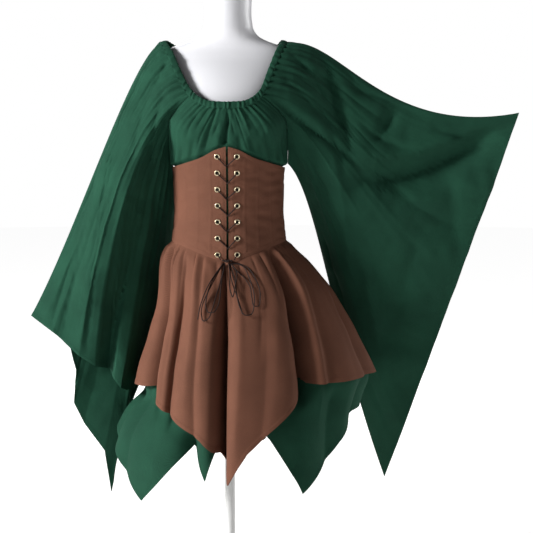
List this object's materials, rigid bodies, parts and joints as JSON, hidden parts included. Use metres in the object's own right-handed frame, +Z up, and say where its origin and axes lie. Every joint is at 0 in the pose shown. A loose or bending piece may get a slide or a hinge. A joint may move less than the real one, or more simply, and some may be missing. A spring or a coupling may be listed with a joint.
{
  "type": "fairy costume dress on dress form",
  "caption": "Off-shoulder peasant dress with butterfly sleeves and pointed hems under a front-laced corset with an overskirt, standing on a limbless dress form with a round base",
  "frame": {"origin": "the centre of the stand base's underside, on the floor", "axes": "+X towards the wearer's left, which is the right of the picture, -Y towards the viewer, +Z up"},
  "size_m": [1.0673, 0.4943, 1.556],
  "materials": {
    "green_cotton": "crinkled plain-weave cotton, forest green, soft sheen on the folds",
    "brown_twill": "reddish-brown cotton twill, matt, topstitched",
    "dark_lace": "round braided cord, dark brown",
    "brass_eyelet": "rolled pale brass eyelets",
    "white_shell": "smooth white moulded shell, satin",
    "white_enamel": "white enamel on steel"
  },
  "bodies": {
    "root": {"bodice_back": "green_cotton", "bodice_front": "green_cotton", "bow_knot": "dark_lace", "bow_loop_left_1": "dark_lace", "bow_loop_left_2": "dark_lace", "bow_loop_left_3": "dark_lace", "bow_loop_right_1": "dark_lace", "bow_loop_right_2": "dark_lace", "bow_tail_left": "dark_lace", "bow_tail_right": "dark_lace", "corset_back": "brown_twill", "corset_front_left": "brown_twill", "corset_front_right": "brown_twill", "dress_form": "white_shell", "eyelet_left_1": "brass_eyelet", "eyelet_left_2": "brass_eyelet", "eyelet_left_3": "brass_eyelet", "eyelet_left_4": "brass_eyelet", "eyelet_left_5": "brass_eyelet", "eyelet_left_6": "brass_eyelet", "eyelet_left_7": "brass_eyelet", "eyelet_right_1": "brass_eyelet", "eyelet_right_2": "brass_eyelet", "eyelet_right_3": "brass_eyelet", "eyelet_right_4": "brass_eyelet", "eyelet_right_5": "brass_eyelet", "eyelet_right_6": "brass_eyelet", "eyelet_right_7": "brass_eyelet", "lacing": "dark_lace", "neck_casing": "green_cotton", "overskirt_back": "brown_twill", "overskirt_front": "brown_twill", "sleeve_left_back": "green_cotton", "sleeve_left_front": "green_cotton", "sleeve_right_back": "green_cotton", "sleeve_right_front": "green_cotton", "stand_base": "white_enamel", "stand_pole": "white_enamel", "underskirt_back": "green_cotton", "underskirt_front": "green_cotton"}
  },
  "joints": []
}
